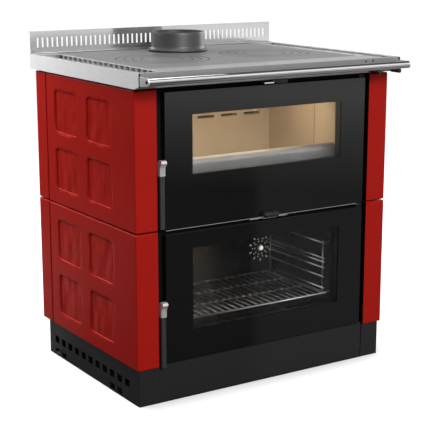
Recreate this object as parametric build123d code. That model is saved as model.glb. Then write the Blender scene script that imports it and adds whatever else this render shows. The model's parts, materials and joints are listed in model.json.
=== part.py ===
from build123d import *
import os
from math import cos, radians, sin

# A wood-fired cookstove: firebox with a glazed door above, glazed oven below, cast hob with lift-out
# rings on top, and a log drawer in the plinth. Millimetres, +X to the stove's right seen from the
# front, -Y to the front, +Z up. The origin is on the floor, under the middle of the overall box.

# Overall sizes
body_width = 800.0
panel_depth = 565.0
hob_height = 860.0
plinth_height = 98.0
hob_overhang = 6.0
hob_back_overhang = 21.0
rail_reach = 86.0

# Thicknesses and clearances
sheet = 2.0
wall = 3.0
glass = 5.0
lift_gap = 0.2
slide_gap = 0.3
pin_gap = 0.05
door_gap = 11.0

# Plinth and log drawer
plinth_side_inset = 6.0
plinth_front_inset = 5.0
plinth_back_inset = 30.0
plinth_flange = 18.0
plinth_corner_radius = 4.0
drawer_post = 62.0
drawer_side_gap = 1.0
drawer_recess = 1.0
drawer_front_depth = 5.0
drawer_front_bottom = 3.0
drawer_front_top_gap = 4.5
tray_side_gap = 13.0
tray_depth = 473.0
tray_height = 72.0
tray_bottom = 8.3
runner_ledge = 24.0
runner_height = 24.0
runner_arm = 30.0
vent_length = 26.0
vent_height = 20.0
vent_low_depth = 16.0
vent_pitch = 41.8
vent_first = 69.0
vent_end_margin = 20.0
vent_row_height = 48.0
vent_low_height = 13.0

# Enamelled side panels
panel_top_gap = 4.0
panel_gap = 3.0
panel_return = 16.0
panel_edge_radius = 4.0
strip_width = 65.0
rear_strip_depth = 65.0
rear_seam = 2.0
emboss_front_margin = 122.0
emboss_back_margin = 52.0
emboss_column_gap = 52.0
emboss_edge_margin = 41.5
emboss_row_gap = 44.0
emboss_radius = 15.0
emboss_depth = 3.0
emboss_draft = 35.0

# Inner walls and front frame
frame_setback = 18.0
wall_inset = 64.0
wall_flange = 56.0
wall_foot = 20.0
vent_opening_width = 36.0
vent_opening_margin = 40.0
vent_opening_count = 3
base_plate_gap = 1.0
fire_opening_lip = 22.0
fire_opening_rise = 6.0
fire_opening_drop = 37.0
back_slot_width = 60.0
back_slot_height = 6.0
back_slot_rows = 5
back_slot_pitch_x = 110.0
back_slot_pitch_z = 22.0
back_slot_margin = 100.0
back_slot_top_gap = 125.0

# Hob frame, plate, rings and collar
hob_frame_height = 41.0
hob_nose = 38.5
hob_nose_drop = 10.0
hob_web_setback = 12.0
hob_corner_rise = 8.0
plate_margin = 9.0
plate_front = 42.0
plate_back_margin = 18.0
plate_thickness = 11.0
plate_drop = 1.0
plate_gap = 1.5
plate_ledge = 12.0
plate_corner_radius = 6.0
channel_rim = 12.0
channel_width = 50.0
channel_depth = 30.0
channel_front = 28.0
channel_back_gap = 17.0
slot_width = 18.0
slot_height = 12.0
slot_pitch = 29.5
slot_first = 12.0
ring_inset = 1.0
ring_set_back = 220.0
ring_radii = (125.5, 103.0, 81.0)
ring_step = 6.0
ring_step_height = 5.0
ring_gap = 0.8
lid_groove_radius = 58.5
lid_groove_width = 1.6
lid_groove_depth = 1.4
lifter_length = 26.0
lifter_width = 9.0
lifter_depth = 4.0
lifter_bar = 4.0
flue_inset = 110.0
flue_bore_radius = 70.5
flue_seat = 6.0
collar_top_radius = 75.0
collar_base_radius = 77.0
collar_flange_radius = 85.0
collar_flange = 8.0
collar_height = 56.0
collar_chamfer = 1.5

# Backsplash and front rail
splash_height = 62.0
splash_foot = 14.0
splash_hem = 6.0
splash_slot_width = 5.5
splash_slot_height = 27.0
splash_slot_rise = 17.0
splash_slot_pitch = 15.04
splash_slot_margin = 12.0
rail_radius = 10.0
rail_wall = 1.5
rail_plug = 14.0
rail_drop = 18.0
bracket_thickness = 3.0
bracket_gap = 1.5
bracket_tail = 8.0
bracket_height = 24.0
bracket_tail_drop = 32.0
bracket_hole_radius = 2.6

# Firebox
flue_passage = 43.0
flue_space = 165.0
shell_rise = 23.5
bed_thickness = 6.0
bed_rise = 38.0
bed_margin = 140.0
bed_opening_front = 90.0
bed_opening_back_margin = 70.0
grate_overlap = 12.0
grate_thickness = 12.0
grate_slot_width = 8.0
grate_slot_pitch = 20.0
pan_margin = 10.0
pan_front = 40.0
pan_back_gap = 40.0
pan_height = 30.0
lining_thickness = 25.0
lining_front = 56.0
lining_joint = 150.0
lining_joint_gap = 0.6
lining_top_gap = 27.0
lining_slot_length = 55.0
lining_slot_height = 8.0
lining_slot_pitch = 80.0
lining_slot_drop = 122.0
guard_front = 46.0
guard_thickness = 6.0
guard_height = 100.0
guard_roll = 17.0
guard_gap = 4.0
baffle_front = 24.0
baffle_back_gap = 80.0
baffle_side_gap = 0.5
baffle_thickness = 6.0
damper_slot_width = 30.0
damper_slot_front = 120.0
damper_slot_length = 140.0

# Oven
oven_side_space = 61.0
oven_rise = 40.0
oven_top_space = 52.0
cover_space = 38.0
lamp_inset = 45.0
lamp_rise = 122.0
lamp_radius = 10.0
lamp_height = 7.0
lamp_taper = 32.0
lamp_hole_rings = (20.0, 28.0)
lamp_hole_count = 10
lamp_hole_radius = 2.2
cover_slot_radius = 37.0
cover_slot_length = 9.0
cover_slot_width = 4.0
cover_slot_count = 10
rack_wire = 2.25
rack_levels = (64.0, 97.0, 123.0, 140.0, 151.0, 195.0)
rack_front = 70.0
rack_back_gap = 12.0
rack_post_inset = 12.0
rack_post_offset = 3.9
rack_standoff = 29.0
shelf_rise = 53.0
shelf_side_gap = 1.0
shelf_front = 62.0
shelf_back_gap = 17.0
shelf_wire = 3.0
shelf_bar = 1.8
shelf_bar_pitch = 22.0
shelf_cross_count = 2

# Doors
door_side_gap = 18.4
glass_proud = 4.0
fire_door_top_gap = 9.0
fire_door_rise = 1.5
oven_door_rise = 10.0
door_frame_inset = 1.6
door_frame_step = 2.5
door_frame_depth = 10.0
window_margin = 80.6
window_lap = 2.0
fire_window_low = 136.0
fire_window_high = 60.0
oven_window_low = 77.0
oven_window_high = 44.0
fire_jamb_depth = 24.0
oven_jamb_depth = 20.0
seal_inset = 32.6
seal_width = 12.0
seal_margin = 12.0
inner_glass = 4.0
inner_glass_depth = 14.0
trim_height = 1.5
trim_short = 20.6

# Door hinges
hinge_inset = 8.6
hinge_depth = 6.0
hinge_pin_radius = 3.0
hinge_pin_reach = 14.0
hinge_plate_width = 20.0
hinge_plate_back = 5.0
hinge_plate_gap = 0.5
hinge_collar_radius = 4.5

# Door handles
handle_width = 15.5
handle_gap = 1.4
handle_pivot_depth = 7.0
handle_pivot_radius = 2.5
handle_pivot_reach = 13.0
handle_nut_radius = 3.7
handle_nut = 3.0
fire_handle_rise = 164.0
oven_handle_rise = 149.0
grip_length = 135.0
grip_width = 14.0
grip_depth = 12.0
grip_front = 8.0
grip_radius = 2.5
head_below = 24.0
head_above = 16.0
head_reach = 14.0
head_hook = 3.0
head_hook_height = 9.0
head_throat = 2.0
head_chin = 4.0
head_heel = 5.0
head_heel_drop = 9.0
head_shoulder = 11.0
head_brow = 8.0
head_step = 12.0
head_radius = 2.5

# Air controls
air_strip = 3.0
air_travel = 40.0
air_grip_width = 43.0
air_grip_depth = 13.0
air_grip_height = 12.0
air_grip_chamfer = 2.5
primary_strip_half = 60.0
primary_strip_depth = 20.0
primary_slot_margin = 7.0
primary_slot_gap = 14.0
primary_stud_radius = 2.5
primary_stud_head_radius = 4.5
primary_stud_head = 1.7
primary_stud_y = 4.0
primary_tab_height = 17.0
primary_grip_x = -1.0
primary_grip_rise = 5.0
secondary_strip_x = -36.0
secondary_strip_width = 24.0
secondary_strip_front = 30.0
secondary_strip_back = 40.0
secondary_foot = 8.0
secondary_drop = 7.0
secondary_grip_x = -6.0
rod_radius = 3.0
rod_rise = 5.5
rod_front = 30.0
damper_offset = 6.5
warm_air_inset = 12.0
knob_radius = 6.0
knob_length = 34.0
knob_neck = 4.0
register_thickness = 2.0
register_lap = 3.0
register_lug = 6.0

# Places worked out from the sizes above: widths
half_width = body_width / 2
hob_half = half_width + hob_overhang
plinth_half = half_width - plinth_side_inset
drawer_half_width = plinth_half - drawer_post
strip_inner = half_width - strip_width
wall_outer = half_width - wall_inset
wall_inner = wall_outer - wall
channel_x1 = hob_half - channel_rim
channel_x0 = channel_x1 - channel_width
plate_half_width = channel_x0 - sheet - plate_margin
ring_x = plate_half_width / 2 - ring_inset
ring_places = {"left": -ring_x, "right": ring_x}
shell_half = wall_inner - flue_passage
fire_opening_half = shell_half - fire_opening_lip
bed_opening_half = shell_half - bed_margin
pan_half = bed_opening_half - pan_margin
oven_half = wall_inner - oven_side_space
rack_x = oven_half - rack_standoff
shelf_half = rack_x - shelf_side_gap
lamp_x = oven_half - lamp_inset
door_half = strip_inner - door_side_gap
door_frame_half = door_half - door_frame_inset
window_half = door_half - window_margin
seal_half = door_half - seal_inset
trim_end = door_half - trim_short
hinge_x = door_half - hinge_inset
damper_x = (shell_half + wall_inner) / 2 + damper_offset
warm_air_x = half_width - warm_air_inset

# Depths
front = (rail_reach - panel_depth - hob_back_overhang) / 2
back = front + panel_depth
back_face = back - sheet
hob_back = back + hob_back_overhang
plinth_front = front + plinth_front_inset
plinth_back = back - plinth_back_inset
frame_face = front + frame_setback
frame_back = frame_face + wall
plate_y0 = front + plate_front
plate_y1 = hob_back - plate_back_margin
ring_y = plate_y0 + ring_set_back
flue_y = plate_y1 - flue_inset
channel_y0 = front - channel_front
channel_y1 = back - channel_back_gap
glass_front = front - glass_proud
glass_back = glass_front + glass
door_frame_back = glass_back + door_frame_depth
hinge_y = front + hinge_depth
handle_y = front + handle_pivot_depth
rail_y = front - rail_reach + rail_radius
shell_back = back - flue_space
lining_back_face = shell_back - wall - lining_thickness
cover_y = shell_back - cover_space
rod_tip = front - rod_front

# Heights
hob_bottom = hob_height - hob_frame_height
panel_top = hob_bottom - panel_top_gap
panel_mid = (plinth_height + panel_top) / 2
base_top = plinth_height + sheet
plate_top = hob_height - plate_drop
plate_bottom = plate_top - plate_thickness
rail_z = hob_height - rail_drop
fire_door_top = panel_top - fire_door_top_gap
fire_door_bottom = panel_mid + fire_door_rise
fire_window_bottom = fire_door_bottom + fire_window_low
fire_window_top = fire_door_top - fire_window_high
oven_door_top = fire_door_bottom - door_gap
oven_door_bottom = plinth_height + oven_door_rise
oven_window_bottom = oven_door_bottom + oven_window_low
oven_window_top = oven_door_top - oven_window_high
fire_handle_z = fire_door_bottom + fire_handle_rise
oven_handle_z = oven_door_bottom + oven_handle_rise
shell_bottom = panel_mid + shell_rise
fire_opening_bottom = shell_bottom + fire_opening_rise
fire_opening_top = hob_bottom - fire_opening_drop
bed_top = shell_bottom + bed_rise + bed_thickness
lining_top = hob_bottom - lining_top_gap
oven_bottom = base_top + oven_rise
oven_top = shell_bottom - oven_top_space
shelf_z = oven_bottom + shelf_rise
secondary_z = hob_bottom - secondary_drop
rod_z = hob_bottom + rod_rise

# How many of each repeated feature the sizes give room for
vent_count = int((plinth_back - vent_end_margin - front - vent_first) / vent_pitch) + 1
back_slot_columns = int(2 * (half_width - panel_return - back_slot_margin) / back_slot_pitch_x)
slot_count = int((channel_y1 - channel_y0 - slot_first - slot_width / 2) / slot_pitch) + 1
splash_slot_count = int(2 * (hob_half - splash_slot_margin) / splash_slot_pitch)
lining_slot_count = int(2 * (shell_half - wall - lining_thickness) / lining_slot_pitch)
grate_slot_count = int(2 * bed_opening_half / grate_slot_pitch) - 1
shelf_bar_count = int(2 * shelf_half / shelf_bar_pitch)


def block(x0, x1, y0, y1, z0, z1):
    """A box between two limits on each axis."""
    return Pos((x0 + x1) / 2, (y0 + y1) / 2, (z0 + z1) / 2) * Box(x1 - x0, y1 - y0, z1 - z0)


def bar(start, end, radius):
    """A round bar from one point to another."""
    along = Vector(*end) - Vector(*start)
    low_end = (Align.CENTER, Align.CENTER, Align.MIN)
    return Plane(origin=start, z_dir=along) * Cylinder(radius, along.length, align=low_end)


def wire(start, end, radius):
    """A straight length of wire, drawn with eight flat sides."""
    along = Vector(*end) - Vector(*start)
    section = RegularPolygon(radius, 8, rotation=22.5)
    return extrude(Plane(origin=start, z_dir=along) * section, along.length)


def across(shape):
    """The same shape on the other side of the stove."""
    return mirror(shape, about=Plane.YZ)


def both_sides(shape):
    return shape + across(shape)


def sheet_tray(x0, x1, y0, y1, z0, z1, thickness):
    """An open-topped box of folded sheet."""
    outer = block(x0, x1, y0, y1, z0, z1)
    inner = block(x0 + thickness, x1 - thickness, y0 + thickness, y1 - thickness,
                  z0 + thickness, z1 + thickness)
    return outer - inner


def frame_ring(half_x, z0, z1, y0, y1, border):
    """A rectangular ring in the XZ plane, border wide."""
    hole = block(-half_x + border, half_x - border, y0 - 1, y1 + 1, z0 + border, z1 - border)
    return block(-half_x, half_x, y0, y1, z0, z1) - hole


def plinth():
    body = block(-plinth_half, plinth_half, plinth_front, plinth_back, 0, plinth_height)
    corners = body.edges().filter_by(Axis.Z).group_by(Axis.Y)[0]
    body = fillet(corners, plinth_corner_radius)
    inside_half = plinth_half - sheet
    inside_front = plinth_front + sheet
    inside_back = plinth_back - sheet
    body -= block(-inside_half, inside_half, inside_front, inside_back, sheet, plinth_height - sheet)
    throat_half = plinth_half - plinth_flange
    above = plinth_height + sheet
    body -= block(-throat_half, throat_half, inside_front, plinth_back - plinth_flange, sheet, above)
    mouth = drawer_half_width + drawer_side_gap
    body -= block(-mouth, mouth, plinth_front - sheet, plinth_front + plinth_flange, sheet, above)
    rows = [(place, vent_row_height, vent_height) for place in range(vent_count)]
    low_places = (1, 2, vent_count - 2, vent_count - 1)
    rows += [(place, vent_low_height, vent_low_depth) for place in low_places]
    half = vent_length / 2
    for place, z, tall in rows:
        y = front + vent_first + place * vent_pitch
        hole = block(inside_half - 1, plinth_half + 1, y - half, y + half, z - tall / 2, z + tall / 2)
        body -= both_sides(hole)
    return body


def drawer_front():
    top = oven_door_bottom - drawer_front_top_gap
    y0 = plinth_front + drawer_recess
    y1 = y0 + drawer_front_depth
    half = drawer_half_width
    shell = block(-half, half, y0, y1, drawer_front_bottom, top)
    low = drawer_front_bottom + sheet
    return shell - block(-half + sheet, half - sheet, y0 + sheet, y1 + sheet, low, top - sheet)


def drawer_tray():
    half = drawer_half_width - tray_side_gap
    y0 = plinth_front + drawer_recess + sheet
    return sheet_tray(-half, half, y0, y0 + tray_depth, tray_bottom, tray_bottom + tray_height, sheet)


def drawer_runners():
    side = drawer_half_width - tray_side_gap + slide_gap
    ledge_top = tray_bottom - slide_gap
    y0 = plinth_front + drawer_recess + drawer_front_depth + sheet
    y1 = plinth_back - sheet
    ledge = block(side - runner_ledge, side + sheet, y0, y1, ledge_top - sheet, ledge_top)
    guide = block(side, side + sheet, y0, y1, ledge_top, ledge_top + runner_height)
    runner = ledge + guide
    arm_end = plinth_half - sheet
    for arm_y in (y0 + runner_arm, y1 - 2 * runner_arm):
        runner += block(side + sheet, arm_end, arm_y, arm_y + runner_arm, ledge_top - sheet, ledge_top)
    return both_sides(runner)


def base_plate():
    half = half_width - panel_return - base_plate_gap
    return block(-half, half, frame_face, back_face, plinth_height, base_top)


def side_walls():
    face = block(wall_inner, wall_outer, frame_back, back_face, base_top, hob_bottom)
    flange_z = hob_bottom - sheet
    flange = block(wall_outer, wall_outer + wall_flange, frame_back, back_face, flange_z, hob_bottom)
    foot = block(wall_outer, wall_outer + wall_foot, frame_back, back_face, base_top, base_top + sheet)
    x_mid = wall_outer + wall_flange / 2
    half_x = vent_opening_width / 2
    for place in range(vent_opening_count):
        y0, y1 = vent_opening(place)
        flange -= block(x_mid - half_x, x_mid + half_x, y0, y1, hob_bottom - 2 * sheet, hob_bottom + sheet)
    return both_sides(face + flange + foot)


def vent_opening(place):
    """The Y limits of one warm air opening, the front one first."""
    pitch = (back_face - frame_back) / vent_opening_count
    half = (pitch - vent_opening_margin) / 2
    middle = frame_back + (place + 0.5) * pitch
    return middle - half, middle + half


def front_frame():
    plate = block(-wall_outer, wall_outer, frame_face, frame_back, base_top, hob_bottom)
    y0 = frame_face - wall
    y1 = frame_back + wall
    plate -= block(-fire_opening_half, fire_opening_half, y0, y1, fire_opening_bottom, fire_opening_top)
    plate -= block(-oven_half, oven_half, y0, y1, oven_bottom, oven_top)
    slot_z0 = secondary_z - slide_gap
    slot_z1 = secondary_z + air_strip + slide_gap
    slot_x1 = secondary_strip_x + secondary_strip_width + air_travel + slide_gap
    plate -= block(secondary_strip_x - slide_gap, slot_x1, y0, y1, slot_z0, slot_z1)
    ledge_half = strip_inner - 1
    ledge_y0 = front - hob_web_setback
    ledge = block(-ledge_half, ledge_half, ledge_y0, frame_face, hob_bottom - sheet, hob_bottom)
    return plate + ledge


def side_panel(z0, z1):
    """The left panel of one tier: side face and front strip folded in one sheet, with pressed squares."""
    x0 = -half_width
    y1 = back - rear_strip_depth - rear_seam
    side = block(x0, x0 + panel_return, front, y1, z0, z1)
    strip = block(x0, -strip_inner, front, frame_face, z0, z1)
    shell = side + strip
    outside = shell.faces().sort_by(Axis.X)[0].edges() + shell.faces().sort_by(Axis.Y)[0].edges()
    shell = fillet(outside, panel_edge_radius)
    low = z0 + sheet
    high = z1 - sheet
    shell -= block(x0 + sheet, x0 + panel_return + sheet, front + sheet, y1 - sheet, low, high)
    shell -= block(x0 + sheet, -strip_inner - sheet, front + sheet, frame_face + sheet, low, high)
    first_y = front + emboss_front_margin
    width = (y1 - emboss_back_margin - first_y - emboss_column_gap) / 2
    height = (z1 - z0 - emboss_row_gap) / 2 - emboss_edge_margin
    pad = Rectangle(width + sheet, height + sheet)
    pocket = RectangleRounded(width, height, emboss_radius)
    for column in range(2):
        for row in range(2):
            y = first_y + width / 2 + column * (width + emboss_column_gap)
            z = z0 + emboss_edge_margin + height / 2 + row * (height + emboss_row_gap)
            outer_face = Plane(origin=(x0, y, z), x_dir=(0, 1, 0), z_dir=(1, 0, 0))
            shell += extrude(outer_face.offset(sheet) * pad, emboss_depth)
            shell -= extrude(outer_face * pocket, emboss_depth, taper=emboss_draft)
    return shell


def rear_strip(z0, z1):
    """The left rear strip of one tier."""
    x0 = -half_width
    shell = block(x0, x0 + panel_return, back - rear_strip_depth, back, z0, z1)
    shell = fillet(shell.faces().sort_by(Axis.X)[0].edges(), panel_edge_radius)
    y0 = back - rear_strip_depth + sheet
    return shell - block(x0 + sheet, x0 + panel_return + sheet, y0, back_face, z0 + sheet, z1 - sheet)


def back_panel():
    half = half_width - panel_return
    panel = block(-half, half, back_face, back, base_top, panel_top)
    for row in range(back_slot_rows):
        z = panel_top - back_slot_top_gap + row * back_slot_pitch_z
        for column in range(back_slot_columns):
            x = (column - (back_slot_columns - 1) / 2) * back_slot_pitch_x
            half_x = back_slot_width / 2
            panel -= block(x - half_x, x + half_x, back_face - 1, back + 1, z, z + back_slot_height)
    return panel


def hob_frame():
    nose_y = front - hob_nose
    web_y = front - hob_web_setback
    under = hob_height - sheet
    opening_half = plate_half_width + plate_gap
    opening_front = plate_y0 - plate_gap
    opening_back = plate_y1 + plate_gap
    frame = block(-hob_half, hob_half, nose_y, hob_back, under, hob_height)
    cheek = block(hob_half - sheet, hob_half, nose_y, hob_back, hob_bottom, under)
    corner_top = hob_bottom + hob_corner_rise
    corner = Polyline((nose_y, hob_bottom), (web_y, hob_bottom), (nose_y, corner_top), close=True)
    notch = extrude(Plane.YZ.offset(hob_half - 2 * sheet) * make_face(corner), 3 * sheet)
    foot_x = plinth_half - sheet - sheet
    foot = block(foot_x, hob_half - sheet, web_y + sheet, hob_back - sheet, hob_bottom, hob_bottom + sheet)
    frame += both_sides(cheek - notch + foot)
    inner = hob_half - sheet
    frame += block(-inner, inner, nose_y, nose_y + sheet, under - hob_nose_drop, under)
    frame += block(-inner, inner, hob_back - sheet, hob_back, hob_bottom, under)
    floor = hob_height - channel_depth
    wall_x = channel_x0 - sheet
    frame += block(-wall_x, wall_x, web_y, web_y + sheet, hob_bottom, under)
    frame += block(-inner, inner, web_y, web_y + sheet, hob_bottom, floor - sheet)
    channel = block(wall_x, inner, channel_y0 - sheet, channel_y1 + sheet, floor - sheet, under)
    channel -= block(channel_x0, inner, channel_y0, channel_y1, floor, hob_height)
    channel += block(opening_half, wall_x, web_y, hob_back - sheet, plate_bottom - sheet, plate_bottom)
    frame += both_sides(channel)
    frame -= both_sides(block(channel_x0, channel_x1, channel_y0, channel_y1, floor, hob_height + sheet))
    lip_half = opening_half + sheet
    lip_z = plate_bottom - sheet
    frame += block(-lip_half, lip_half, opening_front - sheet, opening_back + sheet, lip_z, under)
    frame -= block(-opening_half, opening_half, opening_front, opening_back, plate_bottom, hob_height + 1)
    ledge_half = opening_half - plate_ledge
    frame -= block(-ledge_half, ledge_half, opening_front + plate_ledge, opening_back - plate_ledge,
                   plate_bottom - 2 * sheet, hob_height)
    for place in range(slot_count):
        y = channel_y0 + slot_first + place * slot_pitch
        half = slot_width / 2
        slot = block(wall_x - 1, channel_x0 + 1, y - half, y + half, under - slot_height, under)
        frame -= both_sides(slot)
    for x in (damper_x, warm_air_x):
        frame -= bar((x, web_y - sheet, rod_z), (x, web_y + 2 * sheet, rod_z), rod_radius + pin_gap)
    return frame


def stepped_plug(x, radius, lift=0.0):
    """A disc with a rabbeted underside: a ring's outside, or the hole that takes it."""
    top_end = (Align.CENTER, Align.CENTER, Align.MAX)
    upper = Cylinder(radius, plate_thickness - ring_step_height - lift, align=top_end)
    lower = Cylinder(radius - ring_step, plate_thickness, align=top_end)
    return Pos(x, ring_y, plate_top) * (upper + lower)


def hob_plate():
    plate = block(-plate_half_width, plate_half_width, plate_y0, plate_y1, plate_bottom, plate_top)
    plate = fillet(plate.edges().filter_by(Axis.Z), plate_corner_radius)
    for x in ring_places.values():
        plate -= stepped_plug(x, ring_radii[0] + ring_gap)
    throat = flue_bore_radius - flue_seat
    return plate - bar((0, flue_y, plate_bottom - 1), (0, flue_y, plate_top + 1), throat)


def hob_ring(x, place):
    ring = stepped_plug(x, ring_radii[place], lift_gap)
    return ring - stepped_plug(x, ring_radii[place + 1] + ring_gap)


def hob_lid(x, lifter):
    """The innermost disc of a ring set, grooved round, with or without the pocket for the lifter."""
    lid = stepped_plug(x, ring_radii[-1], lift_gap)
    at = Pos(x, ring_y, plate_top)
    outer = Cylinder(lid_groove_radius, 2 * lid_groove_depth)
    inner = Cylinder(lid_groove_radius - lid_groove_width, 2 * lid_groove_depth)
    lid -= at * (outer - inner)
    if not lifter:
        return lid
    pocket = at * SlotOverall(lifter_length, lifter_width)
    lid -= extrude(pocket, -lifter_depth)
    half = lifter_bar / 2
    reach = lifter_width / 2
    floor = plate_top - lifter_depth
    return lid + block(x - half, x + half, ring_y - reach, ring_y + reach, floor, plate_top)


def flue_collar():
    flange_z = plate_top + collar_flange
    top = plate_top + collar_height
    cut = collar_chamfer
    outline = Polyline(
        (flue_bore_radius, plate_top),
        (collar_flange_radius, plate_top),
        (collar_flange_radius, flange_z - cut),
        (collar_flange_radius - cut, flange_z),
        (collar_base_radius, flange_z),
        (collar_top_radius, top - cut),
        (collar_top_radius - cut, top),
        (flue_bore_radius, top),
        close=True,
    )
    return Pos(0, flue_y, 0) * revolve(Plane.XZ * make_face(outline), Axis.Z)


def backsplash():
    y1 = hob_back - splash_hem
    top = hob_height + splash_height
    plate = block(-hob_half, hob_half, y1 - sheet, y1, hob_height, top)
    plate += block(-hob_half, hob_half, y1 - splash_foot, y1, hob_height, hob_height + sheet)
    plate += block(-hob_half, hob_half, y1, hob_back, top - sheet, top)
    z0 = hob_height + splash_slot_rise
    half = splash_slot_width / 2
    for place in range(splash_slot_count):
        x = (place - (splash_slot_count - 1) / 2) * splash_slot_pitch
        plate -= block(x - half, x + half, y1 - 2 * sheet, y1 + sheet, z0, z0 + splash_slot_height)
    return plate


def rail_tube():
    half = hob_half - bracket_thickness
    tube = bar((-half, rail_y, rail_z), (half, rail_y, rail_z), rail_radius)
    bore = half - rail_plug
    tube -= bar((-bore, rail_y, rail_z), (bore, rail_y, rail_z), rail_radius - rail_wall)
    return tube


def rail_brackets():
    nose_y = front - hob_nose
    tail_z = hob_height - bracket_tail_drop
    x0 = hob_half - bracket_thickness
    start_y = nose_y - bracket_gap
    sides = Polyline(
        (start_y, tail_z),
        (start_y, tail_z + bracket_height),
        (rail_y, rail_z + rail_radius),
        (rail_y, rail_z - rail_radius),
        close=True,
    )
    plate = extrude(Plane.YZ.offset(x0) * make_face(sides), bracket_thickness)
    plate += bar((x0, rail_y, rail_z), (hob_half, rail_y, rail_z), rail_radius)
    tongue_x1 = hob_half - sheet
    tongue_top = hob_height - sheet - hob_nose_drop - slide_gap
    tongue_x0 = tongue_x1 - bracket_thickness
    tongue_y1 = nose_y + bracket_tail
    plate += block(tongue_x0, tongue_x1, start_y - sheet, tongue_y1, tail_z + sheet, tongue_top)
    plate -= bar((x0 - sheet, rail_y, rail_z), (hob_half + sheet, rail_y, rail_z), bracket_hole_radius)
    return both_sides(plate)


def firebox_shell():
    top = hob_bottom
    shell = block(-shell_half, shell_half, frame_back, shell_back, shell_bottom, top)
    inner = shell_half - wall
    shell -= block(-inner, inner, frame_back - 1, shell_back - wall, shell_bottom + wall, top + 1)
    flange = block(shell_half, wall_inner, frame_back, shell_back, top - sheet, top)
    shell += both_sides(flange)
    x_mid = (shell_half + wall_inner) / 2
    half = damper_slot_width / 2
    y0 = front + damper_slot_front
    shell -= block(x_mid - half, x_mid + half, y0, y0 + damper_slot_length, top - 2 * sheet, top + sheet)
    return shell


def fire_bed():
    half = shell_half - wall
    z0 = bed_top - bed_thickness
    bed = block(-half, half, frame_back, shell_back - wall, z0, bed_top)
    y0 = front + bed_opening_front
    y1 = shell_back - bed_opening_back_margin
    return bed - block(-bed_opening_half, bed_opening_half, y0, y1, z0 - 1, bed_top + 1)


def fire_grate():
    half = bed_opening_half + grate_overlap
    y0 = front + bed_opening_front - grate_overlap
    y1 = shell_back - bed_opening_back_margin + grate_overlap
    top = bed_top + grate_thickness
    grate = block(-half, half, y0, y1, bed_top, top)
    slot_y0 = y0 + 2 * grate_overlap
    slot_y1 = y1 - 2 * grate_overlap
    for place in range(grate_slot_count):
        x = (place - (grate_slot_count - 1) / 2) * grate_slot_pitch
        half_x = grate_slot_width / 2
        grate -= block(x - half_x, x + half_x, slot_y0, slot_y1, bed_top - 1, top + 1)
    return grate


def ash_pan():
    z0 = shell_bottom + wall
    y1 = shell_back - pan_back_gap
    return sheet_tray(-pan_half, pan_half, front + pan_front, y1, z0, z0 + pan_height, sheet)


def lining_right():
    x1 = shell_half - wall
    x0 = x1 - lining_thickness
    joint = front + lining_joint
    fore = block(x0, x1, front + lining_front, joint, bed_top, lining_top)
    rear = block(x0, x1, joint + lining_joint_gap, lining_back_face, bed_top, lining_top)
    return fore + rear


def lining_back():
    half = shell_half - wall
    board = block(-half, half, lining_back_face, shell_back - wall, bed_top, lining_top)
    z0 = lining_top - lining_slot_drop
    z1 = z0 + lining_slot_height
    for place in range(lining_slot_count):
        x = (place - (lining_slot_count - 1) / 2) * lining_slot_pitch
        half_x = lining_slot_length / 2
        board -= block(x - half_x, x + half_x, lining_back_face - 1, shell_back, z0, z1)
    return board


def baffle_plate():
    """Loose plate over the fire, lying on the side linings."""
    half = shell_half - wall - baffle_side_gap
    y1 = shell_back - baffle_back_gap
    return block(-half, half, front + baffle_front, y1, lining_top, lining_top + baffle_thickness)


def ember_guard():
    half = shell_half - wall - lining_thickness - guard_gap
    y0 = front + guard_front
    z_roll = bed_top + guard_height - guard_roll
    guard = block(-half, half, y0, y0 + guard_thickness, bed_top, z_roll)
    y_roll = y0 + guard_roll
    roll = bar((-half, y_roll, z_roll), (half, y_roll, z_roll), guard_roll)
    roll -= bar((-half - 1, y_roll, z_roll), (half + 1, y_roll, z_roll), guard_roll - guard_thickness)
    roll -= block(-half - 1, half + 1, y0 - 1, y_roll + guard_roll + 1, z_roll - guard_roll - 1, z_roll)
    return guard + roll


def oven_box():
    half = oven_half + sheet
    box = block(-half, half, frame_back, shell_back, oven_bottom - sheet, oven_top + sheet)
    return box - block(-oven_half, oven_half, frame_back - 1, shell_back - sheet, oven_bottom, oven_top)


def oven_back_cover():
    y1 = cover_y + sheet
    cover = block(-oven_half, oven_half, cover_y, y1, oven_bottom, oven_top)
    lamp_z = oven_bottom + lamp_rise
    for ring_radius in lamp_hole_rings:
        for place in range(lamp_hole_count):
            angle = radians(360 * place / lamp_hole_count)
            x = lamp_x + ring_radius * cos(angle)
            z = lamp_z + ring_radius * sin(angle)
            cover -= wire((x, cover_y - 1, z), (x, y1 + 1, z), lamp_hole_radius)
    slot = Pos(cover_slot_radius, 0, 0) * Box(cover_slot_length, 4 * sheet, cover_slot_width)
    for place in range(cover_slot_count):
        angle = 360 * (place + 0.5) / cover_slot_count
        cover -= Pos(lamp_x, cover_y, lamp_z) * Rot(0, -angle, 0) * slot
    return cover


def oven_lamp():
    """Domed lamp glass on the face of the back cover, drawn with twelve flat sides."""
    at = Plane(origin=(lamp_x, cover_y, oven_bottom + lamp_rise), z_dir=(0, -1, 0))
    return extrude(at * RegularPolygon(lamp_radius, 12), lamp_height, taper=lamp_taper)


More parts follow.
